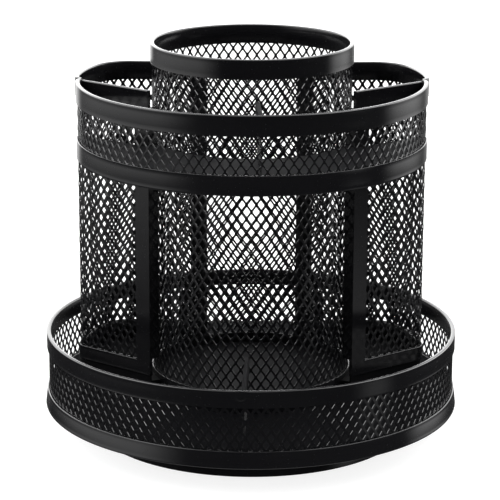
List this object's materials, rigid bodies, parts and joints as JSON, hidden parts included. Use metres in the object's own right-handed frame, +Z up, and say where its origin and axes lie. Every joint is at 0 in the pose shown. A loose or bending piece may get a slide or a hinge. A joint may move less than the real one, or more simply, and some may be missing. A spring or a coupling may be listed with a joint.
{
  "type": "rotating desk organizer",
  "caption": "Black diamond-mesh desk carousel: a tall pencil cup, side pockets and a raised front tray on a round tray that turns on a low base.",
  "frame": {"origin": "on the desk under the pivot, at the centre of the round tray", "axes": "+Z up along the pivot, -Y towards the front, where the raised tray is, +X to the right"},
  "size_m": [0.167, 0.167, 0.1583],
  "materials": {
    "black_paint": "semi-gloss black",
    "black_mesh": "semi-gloss black",
    "zinc_steel": "zinc plated",
    "white_nylon": "natural nylon",
    "grey_rubber": "matt"
  },
  "bodies": {
    "base": {"base_pan": "black_paint", "base_feet": "grey_rubber", "glide_ring": "white_nylon", "pivot_rivet": "zinc_steel", "pivot_washer": "zinc_steel"},
    "carousel": {"cup_mesh": "black_mesh", "cup_rim": "black_paint", "cup_foot": "black_paint", "cup_floor": "black_paint", "right_pocket_mesh": "black_mesh", "right_pocket_rim": "black_paint", "right_pocket_panel_strip": "black_paint", "right_pocket_bottom_strip": "black_paint", "right_pocket_front_post": "black_paint", "right_pocket_rear_post": "black_paint", "right_pocket_pan": "black_paint", "left_pocket_mesh": "black_mesh", "left_pocket_rim": "black_paint", "left_pocket_panel_strip": "black_paint", "left_pocket_bottom_strip": "black_paint", "left_pocket_front_post": "black_paint", "left_pocket_rear_post": "black_paint", "left_pocket_pan": "black_paint", "front_tray_mesh": "black_mesh", "front_tray_rim": "black_paint", "front_tray_skirt": "black_paint", "front_tray_floor": "black_paint", "front_tray_divider_mesh": "black_mesh", "front_tray_divider_strip": "black_paint", "tray_mesh": "black_mesh", "tray_rim": "black_paint", "tray_skirt": "black_paint", "tray_floor": "black_paint", "tray_divider_mesh": "black_mesh", "tray_divider_strip": "black_paint", "swivel_plate": "zinc_steel", "pivot_bush": "white_nylon"}
  },
  "joints": [
    {"name": "carousel_spin", "type": "hinge", "parent": "base", "child": "carousel", "pos_m": [0, 0, 0.013], "axis": [0, 0, 1], "continuous": true}
  ]
}
